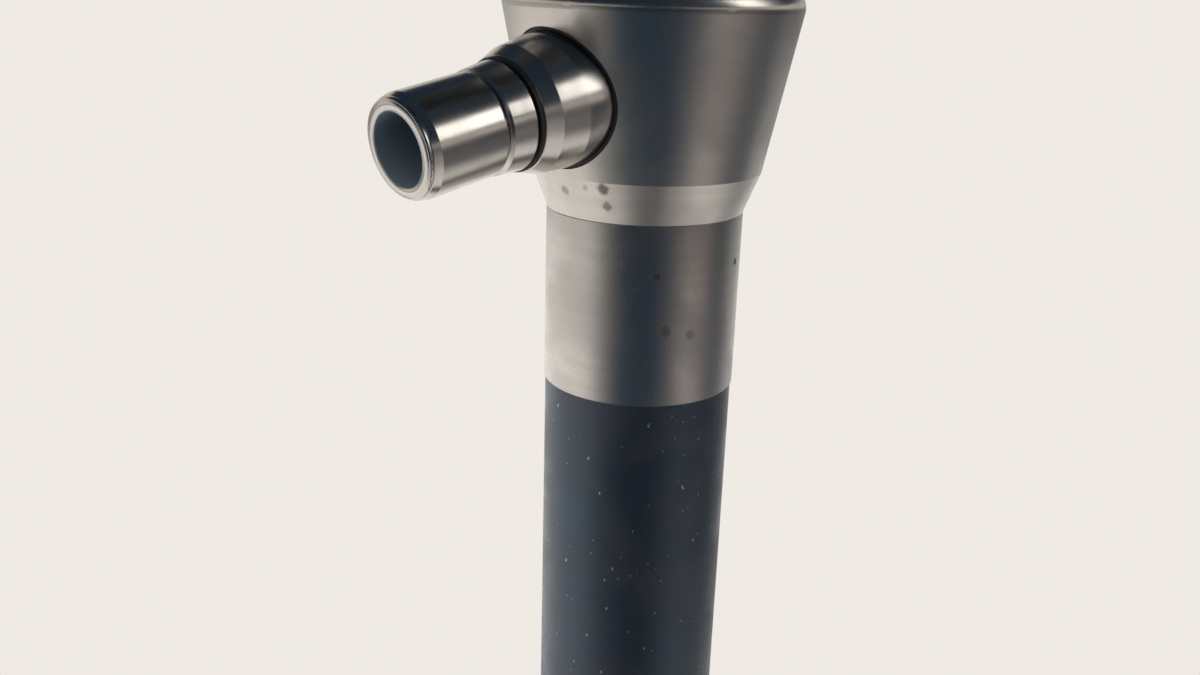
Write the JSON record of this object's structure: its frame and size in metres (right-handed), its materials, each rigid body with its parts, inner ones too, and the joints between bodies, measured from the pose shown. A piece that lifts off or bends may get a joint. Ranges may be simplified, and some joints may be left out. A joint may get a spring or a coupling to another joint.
{
  "type": "rigid endoscope",
  "caption": "Straight-looking rigid rod-lens endoscope with a black shaft, a steel cone body, a polished light post and a flanged eyepiece.",
  "frame": {"origin": "centre of the eyepiece's face, on the optical axis", "axes": "+Z along the optical axis to the tip, +X towards the light post, +Y completing the frame"},
  "size_m": [0.0318, 0.0318, 0.3756],
  "materials": {
    "coated_steel": "blue-black satin coating",
    "body_steel": "satin turned stainless steel",
    "sleeve_steel": "finely brushed stainless steel",
    "polished_steel": "polished stainless steel",
    "inner_steel": "plain turned stainless steel",
    "black_cup": "matt black moulded plastic",
    "black_seal": "matt black sealant and rubber",
    "blackened_metal": "matt black anodised",
    "optical_glass": "clear polished glass",
    "fibre_glass": "packed glass fibres, ground flat at the ends"
  },
  "bodies": {
    "root": {"shaft_tube": "coated_steel", "main_body": "body_steel", "ocular_barrel": "body_steel", "neck_sleeve": "sleeve_steel", "post_adapter": "polished_steel", "post_boss": "polished_steel", "post_lock_nut": "polished_steel", "window_bezel": "polished_steel", "lens_spacer_1": "inner_steel", "lens_spacer_2": "inner_steel", "lens_spacer_3": "inner_steel", "lens_spacer_4": "inner_steel", "lens_spacer_5": "inner_steel", "lens_spacer_6": "inner_steel", "light_ferrule": "inner_steel", "objective_spacer": "inner_steel", "optic_tube": "inner_steel", "train_retainer": "inner_steel", "eyepiece_cup": "black_cup", "cup_seal": "black_seal", "post_packing": "black_seal", "post_seat_ring": "black_seal", "window_gasket": "black_seal", "field_mask": "blackened_metal", "objective_cell": "blackened_metal", "ocular_cell": "blackened_metal", "ocular_lens_ring": "blackened_metal", "ocular_lock_ring": "blackened_metal", "ocular_spacer": "blackened_metal", "distal_window": "optical_glass", "eye_window": "optical_glass", "objective_crown": "optical_glass", "objective_flint": "optical_glass", "objective_front_lens": "optical_glass", "ocular_crown": "optical_glass", "ocular_flint": "optical_glass", "rod_lens_1": "optical_glass", "rod_lens_2": "optical_glass", "rod_lens_3": "optical_glass", "rod_lens_4": "optical_glass", "rod_lens_5": "optical_glass", "rod_lens_6": "optical_glass", "light_fibres": "fibre_glass"}
  },
  "joints": []
}
